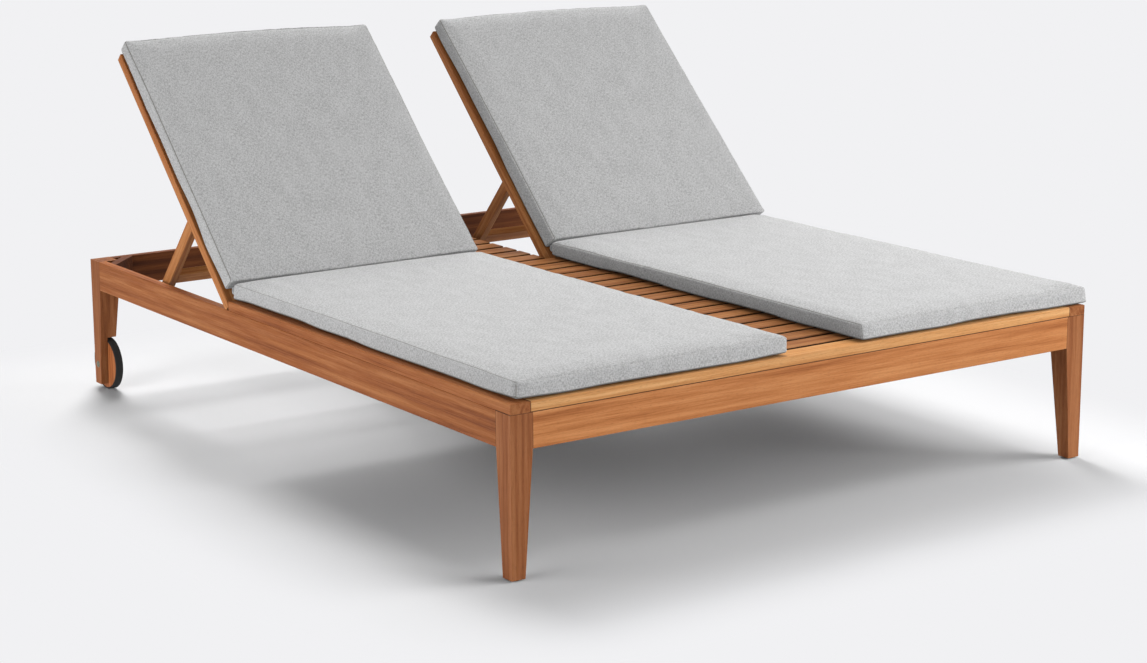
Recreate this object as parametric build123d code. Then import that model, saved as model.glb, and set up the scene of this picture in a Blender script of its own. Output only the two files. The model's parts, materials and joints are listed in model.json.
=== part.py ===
"""Double sun lounger in oiled hardwood, with two reclining backs, loose cushions and two wheels.

The foot end faces -Y, the head end +Y, and X runs across. The origin is on the ground, under
the middle of the whole outline. Sizes are in millimetres.
"""
import os
from math import atan2, cos, degrees, radians, sin, sqrt

from build123d import *

os.makedirs("parts", exist_ok=True)

# Overall frame
overall_width = 1600.0
frame_length = 1984.0
apron_top = 346.0
apron_high = 76.0
apron_thick = 22.0
board_thick = 22.0
board_wide = 48.0
board_gap = 0.5
edge_ease = 1.2

# Legs
leg_square = 53.0
leg_foot = 33.0
rear_leg_lift = 16.0
tenon_thick = 10.0
tenon_long = 18.0
tenon_inset = 9.0
glue_gap = 0.1
glide_radius = 11.0
glide_thick = 3.0

# Wheels
wheel_radius = 68.0
wheel_thick = 20.0
tyre_thick = 4.0
tyre_ease = 1.2
hub_ease = 0.8
leg_cheek = 18.0
wheel_top_gap = 5.0
bush_radius = 8.0
axle_radius = 5.0
axle_running = 0.05
axle_head_radius = 9.0
axle_head_high = 3.0
axle_washer_radius = 10.0
axle_washer_thick = 1.6
axle_nut_flats = 17.0
axle_nut_thick = 8.0
axle_end = 4.0
side_play = 0.2

# Deck slats and what carries them
slat_wide = 51.5
slat_gap = 12.5
cleat_wide = 50.0
cleat_high = 25.0
beam_thick = 22.0
centre_cleat_wide = 24.0
strip_side_gap = 4.0
rail_thick = 24.0

# Corner blocks with their bolts
block_reach = 87.0
block_thick = 22.0
block_high = 60.0
block_leg_gap = 1.0
corner_bolt_radius = 4.0
corner_bolt_depth = 28.0
corner_washer_radius = 10.0
corner_washer_thick = 1.6
corner_nut_flats = 13.0
corner_nut_thick = 6.5
corner_bolt_end = 5.0
bolt_hole_clearance = 0.3
thread_clearance = 0.05

# Backs
back_length = 756.0
rest_angle = 45.0
backs_apart = 220.0
back_end_room = 10.0
stile_wide = 28.0
stile_thick = 24.0
lie_clearance = 0.3
foot_gap = 2.0
back_rail_wide = 48.0
bottom_rail_from_hinge = 14.0
back_slat_thick = 12.0
back_slat_count = 10
housing_depth = 8.0
rail_tenon_thick = 8.0
rail_tenon_long = 14.0
rail_tenon_inset = 8.0

# Hinge brackets and bolts
bracket_thick = 3.0
bracket_wide = 30.0
bracket_drop = 56.0
bracket_ear_radius = 9.5
bracket_hole_radius = 4.05
hinge_bolt_radius = 4.0
hinge_bolt_bite = 20.0
hinge_head_radius = 7.0
hinge_head_thick = 5.0

# Props
prop_pivot_reach = 277.6
prop_pivot_drop = 19.4
prop_bar_wide = 30.0
prop_bar_thick = 20.0
prop_side_gap = 2.0
prop_foot_height = 310.0
prop_rest_slope = 48.6
prop_rail_wide = 33.0
prop_rail_thick = 20.0
prop_rail_from_foot = 56.0
prop_tenon_long = 10.0
prop_tenon_inset = 5.0
bearer_wide = 26.0
bearer_deep = 31.0
bearer_end_gap = 0.3
prop_bolt_radius = 4.0
prop_bolt_bite = 30.0
prop_bolt_head_radius = 7.0
prop_bolt_head_thick = 4.0
prop_bolt_running = 0.05

# Notched racks
rack_high = 24.7
rack_clearance = 0.3
notch_pitch = 42.5
notch_deep = 11.0
notch_flat = 9.0
rack_end = 30.0
notches_ahead = 3
notches_behind = 2

# Cushions
cushion_side_overhang = 4.0
cushion_crown = 9.0
cushion_side_bulge = 2.0
cushion_draw_in = 3.0
cushion_end_ease = 9.0
cushion_end_drop = 6.0
cushion_end_round = 3.0
cushion_shoulder = 80.0
cushion_lift = 0.3
cushion_slices = 7
cushion_end_crown_share = 0.15
seat_cushion_edge = 41.0
seat_cushion_from_front = 4.0
seat_cushion_from_hinge = 11.3
seat_cushion_rear_ease = 24.0
seat_cushion_rear_drop = 18.0
back_cushion_edge = 38.0
back_cushion_from_hinge = 28.0
back_cushion_overhang = 24.0

# How far each loose cushion lies to the right of the middle of its half
left_seat_cushion_drift = 17.0
right_seat_cushion_drift = 10.0
left_back_cushion_drift = 6.0
right_back_cushion_drift = 16.0

# How a cushion's end comes down: shares of its length, each with the share of the drop there
round_end_shares = [(0, 1), (0.33, 0.45), (1, 0)]
slanted_end_shares = [(0, 1), (1, 0)]

# One overrun for every cut that runs out of a solid
overrun = 10.0

# Heights and lengths that follow from the sizes above
half_width = overall_width / 2
apron_bottom = apron_top - apron_high
deck_top = apron_top + board_thick
axle_height = wheel_radius
leg_slope = (leg_square - leg_foot) / (apron_bottom - rear_leg_lift)
axle_from_rear = (leg_foot + leg_slope * (axle_height - rear_leg_lift)) / 2
wheel_overhang = wheel_radius - axle_from_rear
front_y = -(frame_length + wheel_overhang) / 2
rear_y = front_y + frame_length
axle_y = rear_y - axle_from_rear
inner_front_y = front_y + apron_thick
inner_rear_y = rear_y - apron_thick
apron_inner_x = half_width - apron_thick

# The back's hinge line and its two stiles
hinge_y = rear_y - back_end_room - back_length
hinge_z = apron_top + lie_clearance + stile_thick / 2
stile_out_x = half_width
stile_in_x = backs_apart / 2
outer_stile_face_x = stile_out_x - stile_wide
inner_stile_face_x = stile_in_x + stile_wide
board_end_y = hinge_y - stile_thick / 2 - foot_gap
strip_half_width = stile_in_x - strip_side_gap
beam_in_x = stile_in_x
cushion_width = stile_out_x - stile_in_x + 2 * cushion_side_overhang

# The prop at rest
rest = radians(rest_angle)
slope = radians(prop_rest_slope)
pivot_y = hinge_y + prop_pivot_reach * cos(rest) + prop_pivot_drop * sin(rest)
pivot_z = hinge_z + prop_pivot_reach * sin(rest) - prop_pivot_drop * cos(rest)
prop_length = (pivot_z - prop_foot_height) / sin(slope)
foot_y = pivot_y + prop_length * cos(slope)
prop_round = prop_bar_wide / 2
prop_outer_x = outer_stile_face_x - prop_side_gap
prop_inner_x = inner_stile_face_x + prop_side_gap
prop_ratio = -(1 + (prop_pivot_reach * cos(rest) + prop_pivot_drop * sin(rest))
               / (prop_length * cos(slope)))
rack_top = prop_foot_height - prop_round - rack_clearance


def slab(x0, x1, y0, y1, z0, z1):
    """A box between two corners, given in any order."""
    size = (abs(x1 - x0), abs(y1 - y0), abs(z1 - z0))
    return Pos((x0 + x1) / 2, (y0 + y1) / 2, (z0 + z1) / 2) * Box(*size)


def eased(solid, axis):
    """The same board with its long edges slightly taken off."""
    return chamfer(solid.edges().filter_by(axis), edge_ease)


def prism_x(points, x0, x1):
    """An outline of (y, z) points carried from x0 to x1."""
    low, high = min(x0, x1), max(x0, x1)
    outline = Polyline(*[(low, y, z) for y, z in points], close=True)
    return extrude(make_face(outline), amount=high - low, dir=(1, 0, 0))


def prism_y(points, y0, y1):
    """An outline of (x, z) points carried from y0 to y1."""
    low, high = min(y0, y1), max(y0, y1)
    outline = Polyline(*[(x, low, z) for x, z in points], close=True)
    return extrude(make_face(outline), amount=high - low, dir=(0, 1, 0))


def prism_z(points, z0, z1):
    """An outline of (x, y) points carried from z0 to z1."""
    outline = Polyline(*[(x, y, z0) for x, y in points], close=True)
    return extrude(make_face(outline), amount=z1 - z0, dir=(0, 0, 1))


def rod_x(y, z, x0, x1, radius):
    """A round bar along X."""
    return Pos((x0 + x1) / 2, y, z) * Rot(0, 90, 0) * Cylinder(radius, abs(x1 - x0))


def hex_x(y, z, x0, x1, flats):
    """A hexagonal bar along X, given across its flats."""
    low, high = min(x0, x1), max(x0, x1)
    outline = RegularPolygon(flats / 2, 6, major_radius=False)
    return Pos(low, y, z) * Rot(0, 90, 0) * extrude(outline, amount=high - low)


def save(name, shape):
    """Write one sub-part under its name."""
    shape.label = name
    export_step(shape, f"parts/{name}.step")


def group(*solids):
    """Several separate solids kept in one sub-part."""
    return Compound(children=list(solids))


def leg_blank(side, end, bottom):
    """A leg that is square beside the aprons and tapers on its two inner faces below them."""
    end_y = front_y if end < 0 else rear_y

    def profile(outer, inward):
        return [(outer, bottom), (outer + inward * leg_foot, bottom),
                (outer + inward * leg_square, apron_bottom),
                (outer + inward * leg_square, apron_top), (outer, apron_top)]

    across = prism_y(profile(side * half_width, -side), end_y, end_y - end * leg_square)
    along = prism_x(profile(end_y, -end), side * half_width, side * (half_width - leg_square))
    return across & along


def apron_tenon_z():
    """Bottom and top of the tenons on the aprons."""
    return apron_bottom + tenon_inset, apron_top - tenon_inset


def leg_mortises(side, end):
    """The two pockets in a leg that take the tenons of a side apron and an end apron."""
    end_y = front_y if end < 0 else rear_y
    low, high = apron_tenon_z()
    depth = tenon_long + glue_gap
    x_mid = side * (half_width - apron_thick / 2)
    y_mid = end_y - end * apron_thick / 2
    half = tenon_thick / 2 + glue_gap
    y_face = end_y - end * leg_square
    x_face = side * (half_width - leg_square)
    side_pocket = slab(x_mid - half, x_mid + half, y_face, y_face + end * depth,
                       low - glue_gap, high + glue_gap)
    end_pocket = slab(x_face, x_face + side * depth, y_mid - half, y_mid + half,
                      low - glue_gap, high + glue_gap)
    return side_pocket + end_pocket


def corner_place(side, end, across, height):
    """A frame whose X axis runs diagonally out towards a leg, from inside the aprons' corner."""
    inner_y = inner_front_y if end < 0 else inner_rear_y
    x = side * (apron_inner_x - across / 2)
    y = inner_y - end * across / 2
    turn = degrees(atan2(end, side))
    return Pos(x, y, height) * Rot(0, 0, turn)


def block_middle():
    """Height of the middle of a corner block."""
    return apron_top - block_high / 2


def block_near():
    """How far from the aprons' corner the back of a corner block starts, along each apron."""
    return block_reach - block_thick * sqrt(2)


def corner_solid(side, end, near, far, z0, z1):
    """A slice across the corner between an end apron and a side apron."""
    inner_y = inner_front_y if end < 0 else inner_rear_y
    plan = [(near, 0), (far, 0), (0, far), (0, near)]
    points = [(side * (apron_inner_x - u), inner_y - end * v) for u, v in plan]
    return prism_z(points, z0, z1)


def leg(side, end):
    """One finished leg: mortised, flattened behind the corner block and, at the head, notched."""
    bottom = glide_thick if end < 0 else rear_leg_lift
    solid = leg_blank(side, end, bottom) - leg_mortises(side, end)
    flat = block_near() - block_leg_gap * sqrt(2)
    solid -= corner_solid(side, end, flat, block_reach, apron_top - block_high, apron_top + overrun)
    bolt = corner_place(side, end, block_reach, block_middle())
    reach = block_thick + block_leg_gap + corner_bolt_depth + glue_gap
    hole = Cylinder(corner_bolt_radius, reach, rotation=(0, 90, 0))
    solid -= bolt * Pos(reach / 2, 0, 0) * hole
    if end > 0:
        notch_top = axle_height + wheel_radius + wheel_top_gap
        cheek_x = side * (half_width - leg_cheek)
        far_x = side * (half_width - leg_square - overrun)
        solid -= slab(cheek_x, far_x, rear_y - leg_square - overrun, rear_y + overrun,
                      -overrun, notch_top)
        solid -= rod_x(axle_y, axle_height, side * (half_width - leg_cheek - overrun),
                       side * (half_width + overrun), axle_radius)
    return solid


def side_apron(side):
    """The long apron, with a tenon at each end."""
    x0, x1 = side * apron_inner_x, side * half_width
    y0, y1 = front_y + leg_square, rear_y - leg_square
    solid = eased(slab(x0, x1, y0, y1, apron_bottom, apron_top), Axis.Y)
    low, high = apron_tenon_z()
    mid = side * (half_width - apron_thick / 2)
    return solid + slab(mid - tenon_thick / 2, mid + tenon_thick / 2,
                        y0 - tenon_long, y1 + tenon_long, low, high)


def end_apron(end):
    """The short apron across the foot or the head, with a tenon at each end."""
    outer = front_y if end < 0 else rear_y
    x1 = half_width - leg_square
    solid = eased(slab(-x1, x1, outer, outer - end * apron_thick, apron_bottom, apron_top), Axis.X)
    low, high = apron_tenon_z()
    mid = outer - end * apron_thick / 2
    return solid + slab(-x1 - tenon_long, x1 + tenon_long,
                        mid - tenon_thick / 2, mid + tenon_thick / 2, low, high)


def corner_blocks():
    """The four diagonal blocks that brace the corners, each bored for its bolt."""
    blocks = []
    for side in (-1, 1):
        for end in (-1, 1):
            block = corner_solid(side, end, block_near(), block_reach,
                                 apron_top - block_high, apron_top)
            hole = Cylinder(corner_bolt_radius + bolt_hole_clearance,
                            block_reach, rotation=(0, 90, 0))
            blocks.append(block - corner_place(side, end, block_reach, block_middle()) * hole)
    return group(*blocks)


def corner_bolts():
    """A bolt into each leg, with the washer and nut that draw the corner block up."""
    parts = []
    for side in (-1, 1):
        for end in (-1, 1):
            place = corner_place(side, end, block_reach, block_middle())
            head = corner_washer_thick + corner_nut_thick + corner_bolt_end
            inward = block_thick + block_leg_gap + corner_bolt_depth
            bolt = Pos((inward - head) / 2, 0, 0) * Cylinder(corner_bolt_radius, inward + head,
                                                             rotation=(0, 90, 0))
            bore = Cylinder(corner_bolt_radius + thread_clearance, block_reach,
                            rotation=(0, 90, 0))
            washer = Pos(-corner_washer_thick / 2, 0, 0) * Cylinder(
                corner_washer_radius, corner_washer_thick, rotation=(0, 90, 0)) - bore
            nut_outline = RegularPolygon(corner_nut_flats / 2, 6, major_radius=False)
            nut = Pos(-corner_washer_thick - corner_nut_thick, 0, 0) * Rot(0, 90, 0) * extrude(
                nut_outline, amount=corner_nut_thick) - bore
            parts += [place * bolt, place * washer, place * nut]
    return group(*parts)


def glides():
    """A round glide under each leg at the foot end."""
    reach = leg_foot / 2
    return group(*[Pos(side * (half_width - reach), front_y + reach, glide_thick / 2)
                   * Cylinder(glide_radius, glide_thick) for side in (-1, 1)])


def side_board(side):
    """The deck board that lies on a side apron from the foot end to the hinge."""
    return eased(slab(side * (half_width - board_wide), side * half_width, front_y, board_end_y,
                      apron_top, deck_top), Axis.Y)


def front_board():
    """The deck board across the foot end, between the two side boards."""
    x1 = half_width - board_wide - board_gap
    return eased(slab(-x1, x1, front_y, front_y + board_wide, apron_top, deck_top), Axis.X)


def slat_row(half_span, first, last):
    """Slats from first to as near last as their spacing allows."""
    pitch = slat_wide + slat_gap
    count = int((last - first + slat_gap) / pitch)
    return [eased(slab(-half_span, half_span, first + i * pitch, first + i * pitch + slat_wide,
                       apron_top, deck_top), Axis.X) for i in range(count)]


def seat_slat_row():
    """The slats that run across the whole seat."""
    half_span = half_width - board_wide - board_gap
    return slat_row(half_span, front_y + board_wide + slat_gap, board_end_y)


def centre_slat_row():
    """The short slats down the middle of the head end, at the same spacing."""
    first = front_y + board_wide + slat_gap + len(seat_slat_row()) * (slat_wide + slat_gap)
    return slat_row(strip_half_width, first, rear_y)


def side_cleat(side):
    """The cleat inside a side apron that carries the ends of the seat slats."""
    inner = apron_inner_x - cleat_wide
    return slab(side * inner, side * apron_inner_x, inner_front_y + block_reach, rail_front_y(),
                apron_top - cleat_high, apron_top)


def rail_front_y():
    """Front face of the hinge rails."""
    return board_end_y - rail_thick


def hinge_rail(side):
    """The rail under the rear edge of the seat that carries two hinge brackets."""
    return slab(side * (beam_in_x + beam_thick), side * apron_inner_x,
                rail_front_y(), board_end_y, apron_bottom, apron_top)


def centre_beam(side):
    """A long beam beside the middle strip, from the foot apron to the head apron."""
    return slab(side * beam_in_x, side * (beam_in_x + beam_thick), inner_front_y, inner_rear_y,
                apron_bottom, apron_top)


def centre_cleats():
    """The cleats along the centre beams that carry the middle of the slats."""
    inner = beam_in_x - centre_cleat_wide
    return group(*[slab(side * inner, side * beam_in_x, inner_front_y, inner_rear_y,
                        apron_top - cleat_high, apron_top) for side in (-1, 1)])


def rack(side, outer):
    """A notched rail for one prop foot, with the steep side of each notch towards the head."""
    points = [(foot_y - notches_ahead * notch_pitch - rack_end, rack_top - rack_high)]
    points.append((points[0][0], rack_top))
    for i in range(-notches_ahead, notches_behind + 1):
        wall = foot_y + i * notch_pitch + notch_flat / 2
        points += [(wall - notch_pitch + notch_flat, rack_top),
                   (wall - notch_flat, rack_top - notch_deep),
                   (wall, rack_top - notch_deep), (wall, rack_top)]
    end = foot_y + notches_behind * notch_pitch + rack_end
    points += [(end, rack_top), (end, rack_top - rack_high)]
    if outer:
        return prism_x(points, side * (prop_outer_x - prop_bar_thick), side * apron_inner_x)
    return prism_x(points, side * (prop_inner_x + prop_bar_thick),
                   side * (beam_in_x + beam_thick))


def hinge_bracket(side, outer):
    """A steel angle on the hinge rail, with an ear beside the foot of a stile."""
    face = outer_stile_face_x - lie_clearance if outer else inner_stile_face_x + lie_clearance
    inward = -1 if outer else 1
    radius = bracket_ear_radius
    back = board_end_y
    low = hinge_z - bracket_drop
    far = face + inward * bracket_thick
    ear = slab(side * face, side * far, back, hinge_y, hinge_z - radius, hinge_z + radius)
    web = prism_x([(back, low), (back + bracket_thick, low), (hinge_y + radius, hinge_z - radius),
                   (hinge_y + radius, hinge_z), (back, hinge_z)], side * face, side * far)
    ear = ear + web + rod_x(hinge_y, hinge_z, side * face, side * far, radius)
    plate = slab(side * face, side * (face + inward * bracket_wide), back, back + bracket_thick,
                 low, apron_top)
    hole = rod_x(hinge_y, hinge_z, side * (face - inward * overrun),
                 side * (far + inward * overrun), bracket_hole_radius)
    return ear + plate - hole


def hinge_brackets():
    """All four hinge brackets."""
    return group(*[hinge_bracket(side, outer) for side in (-1, 1) for outer in (True, False)])


back_place = Pos(0, hinge_y, hinge_z) * Rot(rest_angle, 0, 0)
prop_place = Pos(0, pivot_y, pivot_z) * Rot(-prop_rest_slope, 0, 0)


def back_slat_starts():
    """Where each back slat begins, along the stile from the hinge."""
    first_edge = bottom_rail_from_hinge + back_rail_wide
    room = back_length - back_rail_wide - first_edge
    gap = (room - back_slat_count * slat_wide) / (back_slat_count + 1)
    return [first_edge + gap + i * (slat_wide + gap) for i in range(back_slat_count)]


def rail_spans():
    """Start and end of the bottom and top rails, along the stile."""
    return [(bottom_rail_from_hinge, bottom_rail_from_hinge + back_rail_wide),
            (back_length - back_rail_wide, back_length)]


def stile(side, outer):
    """A stile of a back, round at the foot, housed for the slats and mortised for the rails."""
    half = stile_thick / 2
    x0 = stile_out_x if outer else stile_in_x
    x1 = outer_stile_face_x if outer else inner_stile_face_x
    into = 1 if outer else -1
    bar = eased(slab(side * x0, side * x1, 0, back_length, -half, half), Axis.Y)
    solid = bar + rod_x(0, 0, side * x0, side * x1, half)
    front = half - back_slat_thick
    for start in back_slat_starts():
        solid -= slab(side * x1, side * (x1 + into * housing_depth),
                      start, start + slat_wide, front, half + overrun)
    for start, end in rail_spans():
        solid -= slab(side * x1, side * (x1 + into * (rail_tenon_long + glue_gap)),
                      start + rail_tenon_inset - glue_gap, end - rail_tenon_inset + glue_gap,
                      -rail_tenon_thick / 2 - glue_gap, rail_tenon_thick / 2 + glue_gap)
    solid -= rod_x(0, 0, side * x1, side * (x1 + into * hinge_bolt_bite), hinge_bolt_radius)
    return back_place * solid


def back_rail(side, span):
    """A rail between the stiles, with its tenons."""
    half = stile_thick / 2
    start, end = span
    x0, x1 = inner_stile_face_x, outer_stile_face_x
    body = eased(slab(side * x0, side * x1, start, end, -half, half), Axis.X)
    tongue = slab(side * (x0 - rail_tenon_long), side * (x1 + rail_tenon_long),
                  start + rail_tenon_inset, end - rail_tenon_inset,
                  -rail_tenon_thick / 2, rail_tenon_thick / 2)
    return back_place * (body + tongue)


def back_slats(side):
    """The slats of a back, their ends let into the stiles."""
    half = stile_thick / 2
    x0, x1 = inner_stile_face_x - housing_depth, outer_stile_face_x + housing_depth
    return group(*[back_place * slab(side * x0, side * x1, start, start + slat_wide,
                                     half - back_slat_thick, half)
                   for start in back_slat_starts()])


def prop_inside():
    """The two inner faces of the prop bars, as distances from the middle of the lounger."""
    return prop_inner_x + prop_bar_thick, prop_outer_x - prop_bar_thick


def prop_bearer(side):
    """The batten under the back slats that the prop bars turn on, bored at its ends."""
    x0, x1 = prop_inside()
    x0, x1 = x0 + bearer_end_gap, x1 - bearer_end_gap
    top = stile_thick / 2 - back_slat_thick
    solid = eased(slab(side * x0, side * x1, prop_pivot_reach - bearer_wide / 2,
                       prop_pivot_reach + bearer_wide / 2, top - bearer_deep, top), Axis.X)
    for x, inward in ((x0, 1), (x1, -1)):
        solid -= rod_x(prop_pivot_reach, -prop_pivot_drop, side * x,
                       side * (x + inward * prop_bolt_bite), prop_bolt_radius)
    return back_place * solid


def hinge_bolts(side):
    """The bolts that each back turns on: head inside the bracket, thread in the stile."""
    bolts = []
    for outer in (True, False):
        face = outer_stile_face_x if outer else inner_stile_face_x
        into = 1 if outer else -1
        under_head = face - into * (2 * lie_clearance + bracket_thick)
        shank = rod_x(0, 0, side * under_head, side * (face + into * hinge_bolt_bite),
                      hinge_bolt_radius)
        head = rod_x(0, 0, side * under_head, side * (under_head - into * hinge_head_thick),
                     hinge_head_radius)
        bolts.append(back_place * (shank + head))
    return group(*bolts)


def prop_bolts(side):
    """The bolts through the prop bars into the ends of the bearer."""
    x0, x1 = prop_inside()
    bolts = []
    for near, outward in ((x0, -1), (x1, 1)):
        head_top = near + outward * prop_bar_thick
        under_head = head_top - outward * prop_bolt_head_thick
        shank = rod_x(prop_pivot_reach, -prop_pivot_drop,
                      side * (near - outward * (prop_bolt_bite + bearer_end_gap)),
                      side * under_head, prop_bolt_radius)
        head = rod_x(prop_pivot_reach, -prop_pivot_drop, side * under_head, side * head_top,
                     prop_bolt_head_radius)
        bolts.append(back_place * (shank + head))
    return group(*bolts)


def prop_rail_span():
    """Start and end of the prop's cross rail, along the bar from its pivot."""
    end = prop_length - prop_rail_from_foot
    return end - prop_rail_wide, end


def prop_bar(side, outer):
    """A prop bar with round ends, counterbored for its bolt and mortised for the cross rail."""
    x_stile = prop_outer_x if outer else prop_inner_x
    into = -1 if outer else 1
    x_far = x_stile + into * prop_bar_thick
    half = prop_round
    bar = eased(slab(side * x_stile, side * x_far, 0, prop_length, -half, half), Axis.Y)
    solid = bar
    for y in (0, prop_length):
        solid += rod_x(y, 0, side * x_stile, side * x_far, half)
    reach = into * overrun
    solid -= rod_x(0, 0, side * (x_stile - reach), side * (x_far + reach),
                   prop_bolt_radius + prop_bolt_running)
    floor = x_stile + into * (prop_bolt_head_thick + prop_bolt_running)
    solid -= rod_x(0, 0, side * (x_stile - reach), side * floor,
                   prop_bolt_head_radius + prop_bolt_running)
    start, end = prop_rail_span()
    solid -= slab(side * x_far, side * (x_far - into * (prop_tenon_long + glue_gap)),
                  start + prop_tenon_inset - glue_gap, end - prop_tenon_inset + glue_gap,
                  prop_tenon_inset - half - glue_gap,
                  prop_rail_thick - prop_tenon_inset - half + glue_gap)
    return prop_place * solid


def prop_cross_rail(side):
    """The rail that joins the two bars of a prop near their feet."""
    x0, x1 = prop_inside()
    start, end = prop_rail_span()
    low = -prop_round
    body = eased(slab(side * x0, side * x1, start, end, low, low + prop_rail_thick), Axis.X)
    tongue = slab(side * (x0 - prop_tenon_long), side * (x1 + prop_tenon_long),
                  start + prop_tenon_inset, end - prop_tenon_inset,
                  low + prop_tenon_inset, low + prop_rail_thick - prop_tenon_inset)
    return prop_place * (body + tongue)


def wheel_faces():
    """Outer and inner face of a wheel, as distances from the middle of the lounger."""
    outer = half_width - leg_cheek - axle_washer_thick - side_play
    return outer, outer - wheel_thick


def wheel_hub(side):
    """The wooden disc of a wheel, bored for its bush."""
    outer, inner = wheel_faces()
    disc = rod_x(axle_y, axle_height, side * inner, side * outer, wheel_radius - tyre_thick)
    disc = chamfer(disc.edges().filter_by(GeomType.CIRCLE), hub_ease)
    return disc - rod_x(axle_y, axle_height, side * (inner - overrun), side * (outer + overrun),
                        bush_radius)


def wheel_tyre(side):
    """The thin rubber tyre round the disc, its two outer edges taken off."""
    outer, inner = wheel_faces()
    ring = rod_x(axle_y, axle_height, side * inner, side * outer, wheel_radius)
    ring = chamfer(ring.edges().filter_by(GeomType.CIRCLE), tyre_ease)
    return ring - rod_x(axle_y, axle_height, side * (inner - overrun), side * (outer + overrun),
                        wheel_radius - tyre_thick)


def wheel_bush(side):
    """The bush in the disc that runs on the axle bolt."""
    outer, inner = wheel_faces()
    tube = rod_x(axle_y, axle_height, side * inner, side * outer, bush_radius)
    return tube - rod_x(axle_y, axle_height, side * (inner - overrun), side * (outer + overrun),
                        axle_radius + axle_running)


def axle_dome(side):
    """The domed head of an axle bolt, outside the leg."""
    rim, top = (axle_head_radius, 0), (0, axle_head_high)
    sphere_radius = (axle_head_radius ** 2 + axle_head_high ** 2) / (2 * axle_head_high)
    profile = make_face([Line((0, 0), rim), RadiusArc(rim, top, -sphere_radius), Line(top, (0, 0))])
    dome = revolve(profile, Axis.Y)
    return Pos(side * half_width, axle_y, axle_height) * Rot(0, 0, -side * 90) * dome


def axle_bolts():
    """Both axle bolts, each with two washers and a lock nut."""
    parts = []
    outer, inner = wheel_faces()
    for side in (-1, 1):
        second = inner - side_play
        nut_x = second - axle_washer_thick
        end = nut_x - axle_nut_thick - axle_end
        bolt = rod_x(axle_y, axle_height, side * half_width, side * end, axle_radius)
        bore = rod_x(axle_y, axle_height, side * half_width, side * (end - overrun),
                     axle_radius + thread_clearance)
        washers = [rod_x(axle_y, axle_height, side * x, side * (x - axle_washer_thick),
                         axle_washer_radius) - bore for x in (half_width - leg_cheek, second)]
        nut = hex_x(axle_y, axle_height, side * nut_x, side * (nut_x - axle_nut_thick),
                    axle_nut_flats) - bore
        parts += [bolt + axle_dome(side), *washers, nut]
    return group(*parts)


def cushion_section(y, half, edge, crown):
    """One slice across a cushion: flat below, bulging sides, a crowned top."""
    bulge = half + cushion_side_bulge
    low_left, low_right = (-half, y, 0), (half, y, 0)
    top_left, top_right = (-half, y, edge), (half, y, edge)
    return make_face([Line(low_left, low_right),
                      ThreePointArc(low_right, (bulge, y, edge / 2), top_right),
                      ThreePointArc(top_right, (0, y, edge + crown), top_left),
                      ThreePointArc(top_left, (-bulge, y, edge / 2), low_left)])


def cushion_stations(length, far_end):
    """Where the slices of a cushion lie, each with its share of an end and its drop there."""
    far_ease, far_drop, far_shares = far_end
    near = [(cushion_end_ease * a, b, cushion_end_drop * b) for a, b in round_end_shares]
    far = [(length - far_ease * a, b, far_drop * b) for a, b in reversed(far_shares)]
    step = (length - 2 * cushion_shoulder) / (cushion_slices - 1)
    middle = [(cushion_shoulder + i * step, 0, 0) for i in range(cushion_slices)]
    return near + middle + far


def cushion(length, edge, far_end):
    """A boxed cushion: crowned, drawn in between its corners, its ends eased over."""
    half = cushion_width / 2 - cushion_side_bulge
    faces = []
    for y, end_share, drop in cushion_stations(length, far_end):
        from_end = min(y, length - y)
        middle_share = 1 - (1 - 2 * from_end / length) ** 2
        crown_share = 1 - (1 - 2 * from_end / length) ** 6 * (1 - cushion_end_crown_share)
        width = half - cushion_draw_in * middle_share - cushion_end_round * end_share
        faces.append(cushion_section(y, width, edge - drop, crown_share * cushion_crown))
    return loft(faces, ruled=True)


def seat_cushion(side):
    """A seat cushion, loose on the slats. The back cushion swings over its slanted rear end."""
    start = front_y + seat_cushion_from_front
    length = hinge_y - seat_cushion_from_hinge - start
    drift = left_seat_cushion_drift if side < 0 else right_seat_cushion_drift
    middle = side * (stile_out_x + stile_in_x) / 2 + drift
    rear_end = (seat_cushion_rear_ease, seat_cushion_rear_drop, slanted_end_shares)
    place = Pos(middle, start, deck_top + cushion_lift)
    return place * cushion(length, seat_cushion_edge, rear_end)


def back_cushion(side):
    """A back cushion, lying on the front of a back and standing past its top."""
    length = back_length + back_cushion_overhang - back_cushion_from_hinge
    drift = left_back_cushion_drift if side < 0 else right_back_cushion_drift
    middle = side * (stile_out_x + stile_in_x) / 2 + drift
    top_end = (cushion_end_ease, cushion_end_drop, round_end_shares)
    place = Pos(middle, back_cushion_from_hinge, stile_thick / 2 + cushion_lift)
    return back_place * place * cushion(length, back_cushion_edge, top_end)


def build_frame():
    """Everything that stays still."""
    for end, end_name in ((-1, "front"), (1, "rear")):
        save(f"apron_{end_name}", end_apron(end))
        for side, side_name in ((-1, "left"), (1, "right")):
            save(f"leg_{end_name}_{side_name}", leg(side, end))
    for side, name in ((-1, "left"), (1, "right")):
        save(f"apron_{name}", side_apron(side))
        save(f"deck_board_{name}", side_board(side))
        save(f"slat_cleat_{name}", side_cleat(side))
        save(f"hinge_rail_{name}", hinge_rail(side))
        save(f"centre_beam_{name}", centre_beam(side))
        save(f"prop_racks_{name}", group(rack(side, True), rack(side, False)))
        save(f"seat_cushion_{name}", seat_cushion(side))
    save("deck_board_front", front_board())
    save("centre_cleats", centre_cleats())
    save("seat_slats", group(*seat_slat_row()))
    save("centre_slats", group(*centre_slat_row()))
    save("corner_blocks", corner_blocks())
    save("corner_bolts", corner_bolts())
    save("leg_glides", glides())
    save("hinge_brackets", hinge_brackets())
    save("axle_bolts", axle_bolts())


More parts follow.
